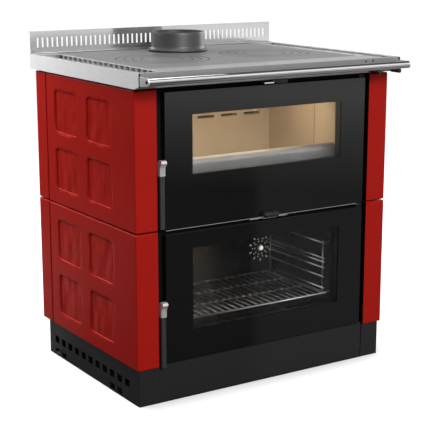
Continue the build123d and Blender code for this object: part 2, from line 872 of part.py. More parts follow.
def oven_racks():
    """Wire ladders down both sides of the oven, standing off its walls."""
    post_x = rack_x + rack_post_offset
    y0 = front + rack_front
    y1 = cover_y - rack_back_gap
    flat = cos(radians(22.5))
    rest_z = shelf_z - (shelf_wire + rack_wire) * flat - pin_gap
    levels = [rest_z] + [oven_bottom + rise for rise in rack_levels]
    low = levels[0] - 2 * rack_wire
    high = levels[-1] + 2 * rack_wire
    lengths = [wire((rack_x, y0, z), (rack_x, y1, z), rack_wire) for z in levels]
    for y in (y0 + rack_post_inset, y1 - rack_post_inset):
        lengths.append(wire((post_x, y, low), (post_x, y, high), rack_wire))
        for z in (levels[0], levels[-1]):
            lengths.append(wire((post_x, y, z), (oven_half, y, z), rack_wire))
    rack = lengths[0]
    for length in lengths[1:]:
        rack += length
    return both_sides(rack)


def oven_shelf():
    y0 = front + shelf_front
    y1 = cover_y - shelf_back_gap
    shelf = wire((-shelf_half, y0, shelf_z), (shelf_half, y0, shelf_z), shelf_wire)
    shelf += wire((-shelf_half, y1, shelf_z), (shelf_half, y1, shelf_z), shelf_wire)
    for x in (-shelf_half, shelf_half):
        shelf += wire((x, y0 - shelf_wire, shelf_z), (x, y1 + shelf_wire, shelf_z), shelf_wire)
    for place in range(shelf_cross_count):
        y = y0 + (place + 1) * (y1 - y0) / (shelf_cross_count + 1)
        shelf += wire((-shelf_half, y, shelf_z), (shelf_half, y, shelf_z), shelf_bar)
    top = shelf_z + shelf_bar
    for place in range(shelf_bar_count):
        x = (place - (shelf_bar_count - 1) / 2) * shelf_bar_pitch
        shelf += wire((x, y0, top), (x, y1, top), shelf_bar)
    return shelf


def door_glass(z0, z1):
    pane = block(-door_half, door_half, glass_front, glass_back, z0, z1)
    return chamfer(pane.faces().sort_by(Axis.Y)[0].edges(), 1)


def door_frame(z0, z1, window_z0, window_z1, jamb_depth, handle_z):
    """Steel pan behind the glass, with a jamb round its window, hinge holes and a handle hole."""
    half = door_frame_half
    low = z0 + door_frame_step
    high = z1 - door_frame_step
    pan = block(-half, half, glass_back, door_frame_back, low, high)
    pan -= block(-half + wall, half - wall, glass_back + sheet, door_frame_back + 1, low + wall, high - wall)
    window = window_half + window_lap
    lap_z0 = window_z0 - window_lap
    lap_z1 = window_z1 + window_lap
    pan -= block(-window, window, glass_back - 1, door_frame_back, lap_z0, lap_z1)
    jamb_back = front + jamb_depth
    pan += frame_ring(window + wall, lap_z0 - wall, lap_z1 + wall, glass_back + sheet, jamb_back, wall)
    hinge_hole = hinge_pin_radius + pin_gap
    for z in (low, high):
        pan -= bar((hinge_x, hinge_y, z - 2 * wall), (hinge_x, hinge_y, z + 2 * wall), hinge_hole)
    handle_hole = handle_pivot_radius + pin_gap
    return pan - bar((-half - 1, handle_y, handle_z), (-half + 2 * wall, handle_y, handle_z), handle_hole)


def door_seal(z0, z1):
    y1 = frame_face - slide_gap
    low = z0 + seal_margin - seal_width / 2
    high = z1 - seal_margin + seal_width / 2
    return frame_ring(seal_half + seal_width / 2, low, high, door_frame_back, y1, seal_width)


def seal_land(z0, z1):
    """Folded land at the back of a door frame that the seal is pressed onto."""
    low = z0 + seal_margin - seal_width / 2
    high = z1 - seal_margin + seal_width / 2
    return frame_ring(seal_half + seal_width / 2, low, high, glass_back + sheet, door_frame_back, seal_width)


def door_inner_glass():
    """Second pane of the oven door, let into the jamb of its window."""
    half = window_half + window_lap
    z0 = oven_window_bottom - window_lap
    z1 = oven_window_top + window_lap
    y0 = front + inner_glass_depth
    return block(-half, half, y0, y0 + inner_glass, z0, z1)


def firebox_door_trim():
    """Bright strip under the firebox door's glass, with the two studs that carry the air slide."""
    z1 = fire_door_bottom
    z0 = z1 - trim_height
    strip = block(-door_frame_half, trim_end, glass_front, door_frame_back, z0, z1)
    hem_top = z1 + door_frame_step
    strip += block(-door_frame_half, trim_end, door_frame_back - sheet, door_frame_back, z1, hem_top)
    strip_bottom = z0 - slide_gap - air_strip
    head_top = strip_bottom - slide_gap
    y = front + primary_stud_y
    for x in primary_stud_places():
        strip += bar((x, y, head_top), (x, y, z0), primary_stud_radius)
        strip += bar((x, y, head_top - primary_stud_head), (x, y, head_top), primary_stud_head_radius)
    return strip


def primary_slots():
    """The X limits of the two slots in the primary air slide, at rest."""
    outer = primary_strip_half - primary_slot_margin
    inner = primary_slot_gap / 2
    return ((-outer, -inner), (inner, outer))


def primary_stud_places():
    return [high - primary_stud_radius - pin_gap for low, high in primary_slots()]


def primary_air_slide():
    z1 = fire_door_bottom - trim_height - slide_gap
    z0 = z1 - air_strip
    y_front = glass_front - 2 * air_strip
    y_back = y_front + primary_strip_depth
    strip = block(-primary_strip_half, primary_strip_half, glass_front - slide_gap, y_back, z0, z1)
    slot_y = front + primary_stud_y
    half = primary_stud_radius + pin_gap
    for low, high in primary_slots():
        slot = Pos((low + high) / 2, slot_y, z0 - 1) * SlotOverall(high - low, 2 * half)
        strip -= extrude(slot, air_strip + 2)
    tab_half = air_grip_width / 2
    x0 = primary_grip_x - tab_half
    x1 = primary_grip_x + tab_half
    strip += block(x0, x1, y_front, glass_front, z0, z1)
    strip += block(x0, x1, y_front, y_front + sheet, z0, z0 + primary_tab_height)
    return strip


def grip_bar(x0, y1, z0):
    """A black moulded grip, its front edges bevelled and its back at y1."""
    grip = block(x0, x0 + air_grip_width, y1 - air_grip_depth, y1, z0, z0 + air_grip_height)
    return chamfer(grip.faces().sort_by(Axis.Y)[0].edges(), air_grip_chamfer)


def primary_air_grip():
    z0 = fire_door_bottom - trim_height - slide_gap - air_strip + primary_grip_rise
    return grip_bar(primary_grip_x - air_grip_width / 2, glass_front - 2 * air_strip, z0)


def secondary_air_slide():
    x0 = secondary_strip_x
    x1 = x0 + secondary_strip_width
    y0 = front - secondary_strip_front
    z1 = secondary_z + air_strip
    strip = block(x0, x1, y0, frame_back + secondary_strip_back, secondary_z, z1)
    return strip + block(x0, secondary_grip_x, y0, y0 + secondary_foot, secondary_z, z1)


def secondary_air_grip():
    y1 = front - secondary_strip_front + secondary_foot + sheet
    z0 = secondary_z + air_strip / 2 - air_grip_height / 2 + sheet
    return grip_bar(secondary_grip_x, y1, z0)


def pull_rod(x, y_end):
    return bar((x, rod_tip, rod_z), (x, y_end, rod_z), rod_radius)


def pull_knob(x):
    """Turned knob on the end of a pull rod, waisted behind its bevelled head."""
    y0 = rod_tip
    knob = bar((x, y0 - knob_length, rod_z), (x, y0, rod_z), knob_radius)
    knob = chamfer(knob.faces().sort_by(Axis.Y)[0].edges(), knob_radius / 3)
    waist = bar((x, y0 - 2 * knob_neck, rod_z), (x, y0 - knob_neck, rod_z), 2 * knob_radius)
    waist -= bar((x, y0 - 3 * knob_neck, rod_z), (x, y0, rod_z), knob_radius - 1)
    return knob - waist


def damper_rod():
    """Pull rod with the shutter that slides over the flue passage beside the firebox."""
    x_mid = (shell_half + wall_inner) / 2
    half = damper_slot_width / 2 + register_lap
    y0 = front + damper_slot_front - register_lap
    y1 = y0 + damper_slot_length + 2 * register_lap
    z0 = hob_bottom + slide_gap
    z1 = z0 + register_thickness
    shutter = block(x_mid - half, x_mid + half, y0, y1, z0, z1)
    lug = block(damper_x - register_lug / 2, damper_x + register_lug / 2, y0, y1, z1, rod_z)
    return pull_rod(damper_x, y1) + shutter + lug


def warm_air_rod():
    """Pull rod with the shutter over the foremost warm air opening of the right side wall."""
    x_mid = wall_outer + wall_flange / 2
    half = vent_opening_width / 2 + register_lap
    opening_y0, opening_y1 = vent_opening(0)
    y0 = opening_y0 - register_lap
    y1 = opening_y1 + register_lap
    z0 = hob_bottom + slide_gap
    z1 = z0 + register_thickness
    shutter = block(x_mid - half, x_mid + half, y0, y1, z0, z1)
    lug = block(warm_air_x - register_lug, warm_air_x, y0, y1, z1, rod_z)
    return pull_rod(warm_air_x, y1) + shutter + lug


def hinge_brackets():
    """Three brackets on the front frame: over the firebox door, between the doors, under the oven."""
    x0 = hinge_x - hinge_plate_width / 2
    x1 = hinge_x + hinge_plate_width / 2
    y0 = hinge_y - hinge_plate_back

    def plate(z0):
        return block(x0, x1, y0, frame_face, z0, z0 + wall)

    def pin(z0, z1, radius):
        return bar((hinge_x, hinge_y, z0), (hinge_x, hinge_y, z1), radius)

    top_z = fire_door_top + wall
    top = plate(top_z) + pin(top_z - hinge_pin_reach, top_z, hinge_pin_radius)
    mid_z = (fire_door_bottom + oven_door_top) / 2 - wall / 2
    fire_seat = fire_door_bottom + door_frame_step - slide_gap
    middle = plate(mid_z) + pin(mid_z, fire_seat, hinge_collar_radius)
    middle += pin(mid_z - hinge_pin_reach, fire_seat + hinge_pin_reach, hinge_pin_radius)
    low_seat = oven_door_bottom + door_frame_step - slide_gap
    low_z = oven_door_bottom - wall - hinge_plate_gap
    bottom = plate(low_z) + pin(low_z, low_seat, hinge_collar_radius)
    bottom += pin(low_z, low_seat + hinge_pin_reach, hinge_pin_radius)
    return top + middle + bottom


def handle_head(pivot_z):
    """Chromed hooked lever on its pivot pin, in the gap beside the door glass."""
    x1 = -door_half - handle_gap
    x0 = x1 - handle_width
    y = handle_y
    z = pivot_z
    nose = front - head_reach
    stem = front - grip_front
    outline = Polyline(
        (y + head_heel, z - head_heel_drop),
        (y + head_heel, z + head_chin),
        (y, z + head_shoulder),
        (y - head_brow, z + head_above),
        (nose, z + head_above),
        (nose - head_hook, z + head_hook_height),
        (nose + head_throat, z + head_throat),
        (stem, z - head_chin),
        (stem, z - head_below),
        (stem + grip_depth, z - head_below),
        (stem + grip_depth, z - head_step),
        close=True,
    )
    head = extrude(Plane.YZ.offset(x0) * make_face(outline), handle_width)
    head = fillet(head.edges().filter_by(Axis.X).group_by(Axis.Z)[-1], head_radius)
    head += bar((x1, y, z), (-door_frame_half + handle_pivot_reach, y, z), handle_pivot_radius)
    nut_x = -door_frame_half + wall + slide_gap
    head += bar((nut_x, y, z), (nut_x + handle_nut, y, z), handle_nut_radius)
    return head


def handle_grip(pivot_z):
    x_mid = -door_half - handle_gap - handle_width / 2
    y0 = front - grip_front
    z1 = pivot_z - head_below
    half = grip_width / 2
    grip = block(x_mid - half, x_mid + half, y0, y0 + grip_depth, z1 - grip_length, z1)
    return fillet(grip.edges().filter_by(Axis.Z), grip_radius)


def build():
    """Every sub-part by its node name."""
    lower = (plinth_height, panel_mid - panel_gap / 2)
    upper = (panel_mid + panel_gap / 2, panel_top)
    strips = rear_strip(*lower) + rear_strip(*upper)
    right_lining = lining_right()
    fire_door = (fire_door_bottom, fire_door_top)
    oven_door = (oven_door_bottom, oven_door_top)
    fire_window = (fire_window_bottom, fire_window_top, fire_jamb_depth)
    oven_window = (oven_window_bottom, oven_window_top, oven_jamb_depth)
    nodes = {
        "plinth": plinth(),
        "drawer_runners": drawer_runners(),
        "drawer_tray": drawer_tray(),
        "drawer_front": drawer_front(),
        "base_plate": base_plate(),
        "side_walls": side_walls(),
        "front_frame": front_frame(),
        "back_panel": back_panel(),
        "panel_left_lower": side_panel(*lower),
        "panel_left_upper": side_panel(*upper),
        "panel_right_lower": across(side_panel(*lower)),
        "panel_right_upper": across(side_panel(*upper)),
        "rear_strips": both_sides(strips),
        "hob_frame": hob_frame(),
        "hob_plate": hob_plate(),
        "flue_collar": flue_collar(),
        "backsplash": backsplash(),
        "rail_tube": rail_tube(),
        "rail_brackets": rail_brackets(),
        "firebox_shell": firebox_shell(),
        "fire_bed": fire_bed(),
        "fire_grate": fire_grate(),
        "ash_pan": ash_pan(),
        "lining_right": right_lining,
        "lining_left": across(right_lining),
        "lining_back": lining_back(),
        "ember_guard": ember_guard(),
        "baffle_plate": baffle_plate(),
        "oven_box": oven_box(),
        "oven_back_cover": oven_back_cover(),
        "oven_lamp": oven_lamp(),
        "oven_racks": oven_racks(),
        "oven_shelf": oven_shelf(),
        "hinge_brackets": hinge_brackets(),
        "firebox_door_glass": door_glass(*fire_door),
        "firebox_door_frame": door_frame(*fire_door, *fire_window, fire_handle_z) + seal_land(*fire_door),
        "firebox_door_seal": door_seal(*fire_door),
        "firebox_door_trim": firebox_door_trim(),
        "firebox_handle_head": handle_head(fire_handle_z),
        "firebox_handle_grip": handle_grip(fire_handle_z),
        "oven_door_glass": door_glass(*oven_door),
        "oven_door_frame": door_frame(*oven_door, *oven_window, oven_handle_z) + seal_land(*oven_door),
        "oven_door_inner_glass": door_inner_glass(),
        "oven_door_seal": door_seal(*oven_door),
        "oven_handle_head": handle_head(oven_handle_z),
        "oven_handle_grip": handle_grip(oven_handle_z),
        "primary_air_slide": primary_air_slide(),
        "primary_air_grip": primary_air_grip(),
        "secondary_air_slide": secondary_air_slide(),
        "secondary_air_grip": secondary_air_grip(),
        "damper_rod": damper_rod(),
        "damper_knob": pull_knob(damper_x),
        "warm_air_rod": warm_air_rod(),
        "warm_air_knob": pull_knob(warm_air_x),
    }
    for side, x in ring_places.items():
        nodes[f"hob_ring_outer_{side}"] = hob_ring(x, 0)
        nodes[f"hob_ring_inner_{side}"] = hob_ring(x, 1)
        nodes[f"hob_lid_{side}"] = hob_lid(x, side == "left")
    return nodes


os.makedirs("parts", exist_ok=True)
for name, shape in build().items():
    export_step(shape, f"parts/{name}.step")
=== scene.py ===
import bpy
import bmesh
import json
import math
from mathutils import Matrix, Vector

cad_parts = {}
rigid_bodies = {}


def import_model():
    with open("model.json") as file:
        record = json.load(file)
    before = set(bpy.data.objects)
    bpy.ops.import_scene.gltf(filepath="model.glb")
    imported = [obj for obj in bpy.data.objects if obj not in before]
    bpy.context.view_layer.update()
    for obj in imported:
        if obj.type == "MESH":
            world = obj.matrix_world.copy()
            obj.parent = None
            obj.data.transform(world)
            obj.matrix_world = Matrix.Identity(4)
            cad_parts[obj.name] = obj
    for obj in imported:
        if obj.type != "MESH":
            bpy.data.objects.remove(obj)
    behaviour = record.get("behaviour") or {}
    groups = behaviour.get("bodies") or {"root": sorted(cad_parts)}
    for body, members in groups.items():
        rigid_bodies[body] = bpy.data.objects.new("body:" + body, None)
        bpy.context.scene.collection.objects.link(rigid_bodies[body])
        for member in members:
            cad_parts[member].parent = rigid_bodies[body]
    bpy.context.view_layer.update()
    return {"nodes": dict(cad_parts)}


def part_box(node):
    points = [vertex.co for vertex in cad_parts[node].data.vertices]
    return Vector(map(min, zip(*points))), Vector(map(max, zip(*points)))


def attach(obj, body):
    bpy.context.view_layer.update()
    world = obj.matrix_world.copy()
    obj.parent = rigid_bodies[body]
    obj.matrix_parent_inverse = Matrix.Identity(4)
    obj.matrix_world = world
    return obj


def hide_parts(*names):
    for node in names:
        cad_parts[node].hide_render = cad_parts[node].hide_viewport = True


for spare in [o for o in bpy.data.objects if o.name in ("Cube", "Light", "Camera")]:
    bpy.data.objects.remove(spare)
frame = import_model()
nodes = frame["nodes"]


# Camera: the stove is photographed from its front left with a long lens, which stands a little above
# the hob and about 3.4 metres away. It is tilted down and has no shift.
def link(obj):
    """Puts an object in the scene."""
    bpy.context.scene.collection.objects.link(obj)
    return obj


photo_px = 436
lens_px = 1205.8
sensor_mm = 36.0
camera_turn = math.radians(32.835)
camera_tilt = math.radians(12.817)
camera = link(bpy.data.objects.new("photo_camera", bpy.data.cameras.new("photo_camera")))
camera.data.sensor_width = sensor_mm
camera.data.lens = sensor_mm * lens_px / photo_px
camera.location = (-1.8001, -2.7949, 1.1599)
camera.rotation_euler = (math.pi / 2 - camera_tilt, 0.0, -camera_turn)
bpy.context.scene.camera = camera
bpy.context.scene.view_settings.view_transform = "Standard"


# Studio floor: a wide sheet of white paper that takes the stove's soft shadow. Its light and dark
# parts, away from the stove, are what the glass and the metal mirror; under the plinth its glow is
# taken away as painted shade.
def inside(material):
    """The node tree of a material and the shader in it."""
    return material.node_tree, material.node_tree.nodes["Principled BSDF"]


def new_finish(name):
    """A new material with its node tree and its shader."""
    material = bpy.data.materials.new(name)
    material.use_nodes = True
    return material, *inside(material)


def sums(tree, operation, *values):
    """One arithmetic node on sockets and numbers."""
    node = tree.nodes.new("ShaderNodeMath")
    node.operation = operation
    for number, value in enumerate(values):
        if isinstance(value, (int, float)):
            node.inputs[number].default_value = value
        else:
            tree.links.new(value, node.inputs[number])
    return node.outputs[0]


def measure(tree, operation, place, other=(0.0, 0.0, 0.0)):
    """One number from a place: its distance from a point, or its reach along a heading."""
    node = tree.nodes.new("ShaderNodeVectorMath")
    node.operation = operation
    node.inputs[1].default_value = other
    tree.links.new(place, node.inputs[0])
    return node.outputs["Value"]


def ramp(tree, value, low, high, least, most, shape="LINEAR"):
    """Runs from least to most while a value runs from low to high."""
    span = tree.nodes.new("ShaderNodeMapRange")
    span.interpolation_type = shape
    span.inputs["From Min"].default_value = low
    span.inputs["From Max"].default_value = high
    span.inputs["To Min"].default_value = least
    span.inputs["To Max"].default_value = most
    tree.links.new(value, span.inputs["Value"])
    return span.outputs["Result"]


def choose(tree, factor, first, second):
    """A first value, or a second number where the factor is one."""
    either = tree.nodes.new("ShaderNodeMix")
    either.inputs["B"].default_value = second
    tree.links.new(factor, either.inputs["Factor"])
    tree.links.new(first, either.inputs["A"])
    return either.outputs["Result"]


def split(tree, place):
    """The X, the Y and the Z of a place or a direction."""
    axes = tree.nodes.new("ShaderNodeSeparateXYZ")
    tree.links.new(place, axes.inputs["Vector"])
    return axes.outputs["X"], axes.outputs["Y"], axes.outputs["Z"]


floor_reach = 30.0
floor_corners = [(x * floor_reach, y * floor_reach, 0) for x, y in ((-1, -1), (1, -1), (1, 1), (-1, 1))]
paper_seen = 0.45
paper_at_left = 0.055
left_to = -0.20
paper_at_right = 0.15
right_from = -0.16
far_light = 0.85
far_from = 2.8
far_to = 6.5
white_near = 0.66
near_to = 0.6
white_away = 0.96
away_from = 1.8
contact_shade = 0.08
floor_mesh = bpy.data.meshes.new("studio_floor")
floor_mesh.from_pydata(floor_corners, [], [(0, 1, 2, 3)])
studio_floor = link(bpy.data.objects.new("studio_floor", floor_mesh))
floor_paint, tree, shader = new_finish("floor_paint")
place = tree.nodes.new("ShaderNodeTexCoord").outputs["Object"]
ray = tree.nodes.new("ShaderNodeLightPath").outputs
to_right = measure(tree, "DOT_PRODUCT", place, (0.82, 0.57, 0.0))
paper = ramp(tree, to_right, left_to, right_from, paper_at_left, paper_at_right)
tree.links.new(choose(tree, ray["Is Camera Ray"], paper, paper_seen), shader.inputs["Base Color"])
shader.inputs["Roughness"].default_value = 0.9
shader.inputs["Specular IOR Level"].default_value = 0.0
shade = tree.nodes.new("ShaderNodeAmbientOcclusion")
shade.inputs["Distance"].default_value = contact_shade
white = ramp(tree, measure(tree, "DISTANCE", place), near_to, away_from, white_near, white_away)
white = sums(tree, "MULTIPLY", white, shade.outputs["AO"])
plinth_low, plinth_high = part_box("plinth")
plinth_middle = (plinth_low + plinth_high) / 2
plinth_half = (plinth_high - plinth_low) / 2
x, y = split(tree, place)[:2]
# Under the plinth the floor's glow is taken away: painted shade under the stove.
under = sums(tree, "COMPARE", x, plinth_middle.x, plinth_half.x)
under = sums(tree, "MULTIPLY", under, sums(tree, "COMPARE", y, plinth_middle.y, plinth_half.y))
white = sums(tree, "MULTIPLY", white, sums(tree, "SUBTRACT", 1.0, under))
to_front = measure(tree, "DOT_PRODUCT", place, (0.625, -0.781, 0.0))
mirrored = ramp(tree, to_front, far_from, far_to, 0.0, far_light)
mirrored = sums(tree, "MULTIPLY", ray["Is Glossy Ray"], mirrored)
glow = sums(tree, "MULTIPLY_ADD", ray["Is Camera Ray"], white, mirrored)
tree.links.new(glow, shader.inputs["Emission Strength"])
shader.inputs["Emission Color"].default_value = (1, 1, 1, 1)
floor_mesh.materials.append(floor_paint)

# Studio surround: white paper behind the stove, plain white to the camera and through the glass. In
# light and reflections it is bright only behind the stove and low down, and dim all round.
behind_heading = Vector((0.30, 0.95, 0.0)).normalized()
behind_light = 0.86
behind_from = -0.20
behind_to = 0.60
low_to = 0.10
high_from = 0.60
dim_light = 0.10
world = bpy.data.worlds.new("studio_world")
world.use_nodes = True
bpy.context.scene.world = world
tree = world.node_tree
toward = tree.nodes.new("ShaderNodeTexCoord").outputs["Generated"]
ray = tree.nodes.new("ShaderNodeLightPath").outputs
behind = measure(tree, "DOT_PRODUCT", toward, behind_heading)
behind = ramp(tree, behind, behind_from, behind_to, 0.0, behind_light)
low_down = ramp(tree, split(tree, toward)[2], low_to, high_from, 1.0, 0.0)
glow = sums(tree, "MULTIPLY_ADD", behind, low_down, dim_light)
seen = sums(tree, "MAXIMUM", ray["Is Camera Ray"], ray["Is Transmission Ray"])
sky = tree.nodes["Background"]
sky.inputs["Color"].default_value = (1, 1, 1, 1)
tree.links.new(choose(tree, seen, glow, 1.0), sky.inputs["Strength"])


# Soft boxes: fabric-fronted studio lamps over the hob, in front, at the front right, behind at the
# left and far out at the right. None is seen by the camera, and the left one isn't mirrored.
def softbox(name, place, target, width, height, watts, colour=(1, 1, 1)):
    """A rectangular lamp that faces a target."""
    lamp = bpy.data.lights.new(name, "AREA")
    lamp.shape = "RECTANGLE"
    lamp.size = width
    lamp.size_y = height
    lamp.energy = watts
    lamp.color = colour
    holder = link(bpy.data.objects.new(name, lamp))
    holder.location = place
    holder.rotation_euler = (Vector(target) - Vector(place)).to_track_quat("-Z", "Y").to_euler()
    holder.visible_camera = False
    return holder


softbox("softbox_over", (-0.3, -0.4, 3.2), (0, 0, 0.5), width=2.4, height=2.0, watts=50)
softbox("softbox_front", (-0.6, -3.8, 2.4), (0, 0, 0.4), width=1.8, height=1.4, watts=165)
softbox("softbox_right", (2.9, -4.1, 3.0), (0, -0.3, 0.8), width=3.6, height=3.2, watts=34)
softbox_left = softbox("softbox_left", (-1.0, 1.4, 1.5), (-0.4, 0.2, 0.4), width=0.9, height=0.8, watts=56)
softbox_left.visible_glossy = False
softbox("softbox_far", (3.2, 0.7, 1.5), (0.4, 0.05, 0.45), width=2.0, height=1.8, watts=60)


# Plinth: folded steel sheet in matt black powder paint, with square air holes punched in its sides.
# The stove stands on its inturned bottom flange; a lip welded behind each front post closes the gap
# beside the drawer, a black sheet put there as painted shade of that gap.
def object_space(tree, stretch=(1, 1, 1)):
    """Coordinates of the piece itself, in metres, stretched along each axis."""
    place = tree.nodes.new("ShaderNodeTexCoord")
    mapping = tree.nodes.new("ShaderNodeMapping")
    mapping.inputs["Scale"].default_value = stretch
    tree.links.new(place.outputs["Object"], mapping.inputs["Vector"])
    return mapping.outputs["Vector"]


def speckle(tree, fineness, detail=4.0, stretch=(1, 1, 1)):
    """Noise with the given fineness per metre."""
    grain = tree.nodes.new("ShaderNodeTexNoise")
    grain.inputs["Scale"].default_value = fineness
    grain.inputs["Detail"].default_value = detail
    tree.links.new(object_space(tree, stretch), grain.inputs["Vector"])
    return grain.outputs["Fac"]


def tint(tree, shader, value, dark, pale):
    """Base colour that runs from dark to pale with a value."""
    blend = tree.nodes.new("ShaderNodeMix")
    blend.data_type = "RGBA"
    blend.inputs["A"].default_value = (*dark, 1)
    blend.inputs["B"].default_value = (*pale, 1)
    tree.links.new(value, blend.inputs["Factor"])
    tree.links.new(blend.outputs["Result"], shader.inputs["Base Color"])


def roughen(tree, shader, value, smooth, rough):
    """Roughness that runs from smooth to rough with a value."""
    tree.links.new(ramp(tree, value, 0.3, 0.7, smooth, rough), shader.inputs["Roughness"])


def emboss(tree, shader, value, strength, height):
    """Relief of a height in metres that follows a value."""
    bump = tree.nodes.new("ShaderNodeBump")
    bump.inputs["Strength"].default_value = strength
    bump.inputs["Distance"].default_value = height
    tree.links.new(value, bump.inputs["Height"])
    tree.links.new(bump.outputs["Normal"], shader.inputs["Normal"])


def mottled(name, dark, pale, patches, grain, smooth, rough, metal=0.0, relief=None):
    """A finish with patches of colour, and a grain that roughens it and, if asked, embosses it."""
    material, tree, shader = new_finish(name)
    tint(tree, shader, speckle(tree, patches), dark, pale)
    fine = speckle(tree, grain)
    roughen(tree, shader, fine, smooth, rough)
    shader.inputs["Metallic"].default_value = metal
    if relief:
        strength, height = relief
        emboss(tree, shader, fine, strength, height)
    return material


def dress(node, material, edge=0.0006):
    """Gives a CAD node its finish and breaks its edges; zero keeps them sharp, None keeps a round wire."""
    piece = nodes[node]
    piece.data.materials.clear()
    piece.data.materials.append(material)
    if "custom_normal" in piece.data.attributes:
        piece.data.attributes.remove(piece.data.attributes["custom_normal"])
    piece.data.shade_smooth()
    weld = piece.modifiers.new("weld", "WELD")
    weld.merge_threshold = 0.00002
    if edge is None:
        return
    if edge:
        soft = piece.modifiers.new("edge", "BEVEL")
        soft.width = edge
        soft.segments = 2
        soft.limit_method = "ANGLE"
        soft.angle_limit = math.radians(38)
        soft.harden_normals = False
    even = piece.modifiers.new("even", "WEIGHTED_NORMAL")
    even.keep_sharp = True
    even.weight = 60


def add_box(mesh, size, centre=(0, 0, 0)):
    """Adds a box to a mesh."""
    corners = bmesh.ops.create_cube(mesh, size=1.0)["verts"]
    bmesh.ops.scale(mesh, verts=corners, vec=size)
    bmesh.ops.translate(mesh, verts=corners, vec=centre)


def add_piece(name, mesh, material, body, place=None):
    """Makes a mesh into a piece in its place, which rides on a body."""
    data = bpy.data.meshes.new(name)
    mesh.to_mesh(data)
    mesh.free()
    data.materials.append(material)
    piece = link(bpy.data.objects.new(name, data))
    if place is not None:
        piece.matrix_world = place
    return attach(piece, body)


lip_height = 0.062
lip_middle_z = 0.0652
lip_face = (0.0225, 0.0010, lip_height)
lip_face_x = 0.3337
lip_face_y = -0.2360
lip_return = (0.0050, 0.0075, lip_height)
lip_return_x = 0.3425
lip_return_y = -0.2393
black_paint = mottled("black_paint", (0.009, 0.009, 0.0095), (0.013, 0.013, 0.0135),
                      patches=7, grain=900, smooth=0.40, rough=0.52, relief=(0.12, 0.0002))
dress("plinth", black_paint, edge=0.0008)
# Each lip is black sheet that stands in for the shade in the gap beside the drawer.
for side, out in (("left", -1), ("right", 1)):
    lip = bmesh.new()
    add_box(lip, lip_face, (out * lip_face_x, lip_face_y, lip_middle_z))
    add_box(lip, lip_return, (out * lip_return_x, lip_return_y, lip_middle_z))
    add_piece("post_lip_" + side, lip, black_paint, "stove_body")


# Log drawer: a black painted front folded from sheet, on a plain tray that runs on two angle
# runners of zinc-coated sheet, screwed inside the plinth.
def flakes(tree, fineness):
    """Crystal-like cells with the given fineness per metre."""
    cells = tree.nodes.new("ShaderNodeTexVoronoi")
    cells.inputs["Scale"].default_value = fineness
    tree.links.new(object_space(tree), cells.inputs["Vector"])
    return cells.outputs


dress("drawer_front", black_paint, edge=0.0012)
dress("drawer_tray", black_paint)
zinc_sheet, tree, shader = new_finish("zinc_sheet")
tint(tree, shader, flakes(tree, 70)["Color"], (0.36, 0.37, 0.38), (0.48, 0.49, 0.50))
roughen(tree, shader, speckle(tree, 60), smooth=0.36, rough=0.55)
shader.inputs["Metallic"].default_value = 0.85
dress("drawer_runners", zinc_sheet)

# Inner body: base plate and side walls in zinc-coated sheet, the black front frame that the doors
# close on, darker than the other black paint as painted shade of its recess, and the black hinge
# brackets. All are spot-welded and screwed together.
dress("base_plate", zinc_sheet)
dress("side_walls", zinc_sheet)
# The front frame's black is darker than the plinth's paint: painted shade of the recess beside the doors.
black_with_recess_shade = mottled("black_with_recess_shade", (0.0022, 0.0022, 0.0023), (0.004, 0.004, 0.0041),
                       patches=12, grain=900, smooth=0.45, rough=0.60)
tree, shader = inside(black_with_recess_shade)
shader.inputs["Specular IOR Level"].default_value = 0.15
dress("front_frame", black_with_recess_shade)
dress("hinge_brackets", black_paint, edge=0.0004)


# Back panel: a louvred sheet of zinc-coated steel that closes the rear. Twelve zinc-coated screws in
# three rows hold it to the inner body.
def screw_head(name, centre, out, radius, material):
    """A low domed screw head with a hexagon socket, facing out."""
    steps = 18
    socket_reach = 0.52
    rings = ((1.0, 0.0), (0.97, 0.28), (0.80, 0.46), (0.50, 0.52), (0.46, 0.10))
    mesh = bmesh.new()
    rows = []
    for reach, rise in rings:
        row = []
        for step in range(steps):
            turn = 2 * math.pi * step / steps
            wide = radius * reach
            if reach < socket_reach:
                wide *= 0.9 / max(abs(math.cos((turn % (math.pi / 3)) - math.pi / 6)), 0.5)
            row.append(mesh.verts.new((wide * math.cos(turn), wide * math.sin(turn), radius * rise)))
        rows.append(row)
    for low, high in zip(rows, rows[1:]):
        for step in range(steps):
            after = (step + 1) % steps
            mesh.faces.new((low[step], low[after], high[after], high[step]))
    mesh.faces.new(rows[-1])
    mesh.faces.new(list(reversed(rows[0])))
    facing = Vector(out).to_track_quat("Z", "Y").to_matrix().to_4x4()
    add_piece(name, mesh, material, "stove_body", Matrix.Translation(centre) @ facing)


back_screw_radius = 0.0042
back_screw_inset = 0.02
panel_low, panel_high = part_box("back_panel")
panel_middle_z = (panel_low.z + panel_high.z) / 2
screw_rows = (panel_low.z + back_screw_inset, panel_middle_z, panel_high.z - back_screw_inset)
screw_left = panel_low.x + back_screw_inset
screw_right = panel_high.x - back_screw_inset
screw_columns = (screw_left, panel_low.x / 3, panel_high.x / 3, screw_right)
dress("back_panel", zinc_sheet)
for row, z in enumerate(screw_rows):
    for column, x in enumerate(screw_columns):
        screw_head(f"back_screw_{row}_{column}", (x, panel_high.y, z), (0, 1, 0), back_screw_radius,
                   zinc_sheet)


# Firebox: a welded steel shell, mineral lining boards on three sides, a cast grate on its bed, a
# rolled guard at the front and an ash pan underneath. A steel sheet inside the back panel closes the
# smoke passage.
def shade_where(tree, shader, where, shade):
    """Multiplies the base colour by a shade of grey or a colour where a value is one."""
    darker = tree.nodes.new("ShaderNodeMix")
    darker.data_type = "RGBA"
    darker.blend_type = "MULTIPLY"
    darker.inputs["B"].default_value = (*shade, 1)
    tree.links.new(where, darker.inputs["Factor"])
    tree.links.new(shader.inputs["Base Color"].links[0].from_socket, darker.inputs["A"])
    tree.links.new(darker.outputs["Result"], shader.inputs["Base Color"])


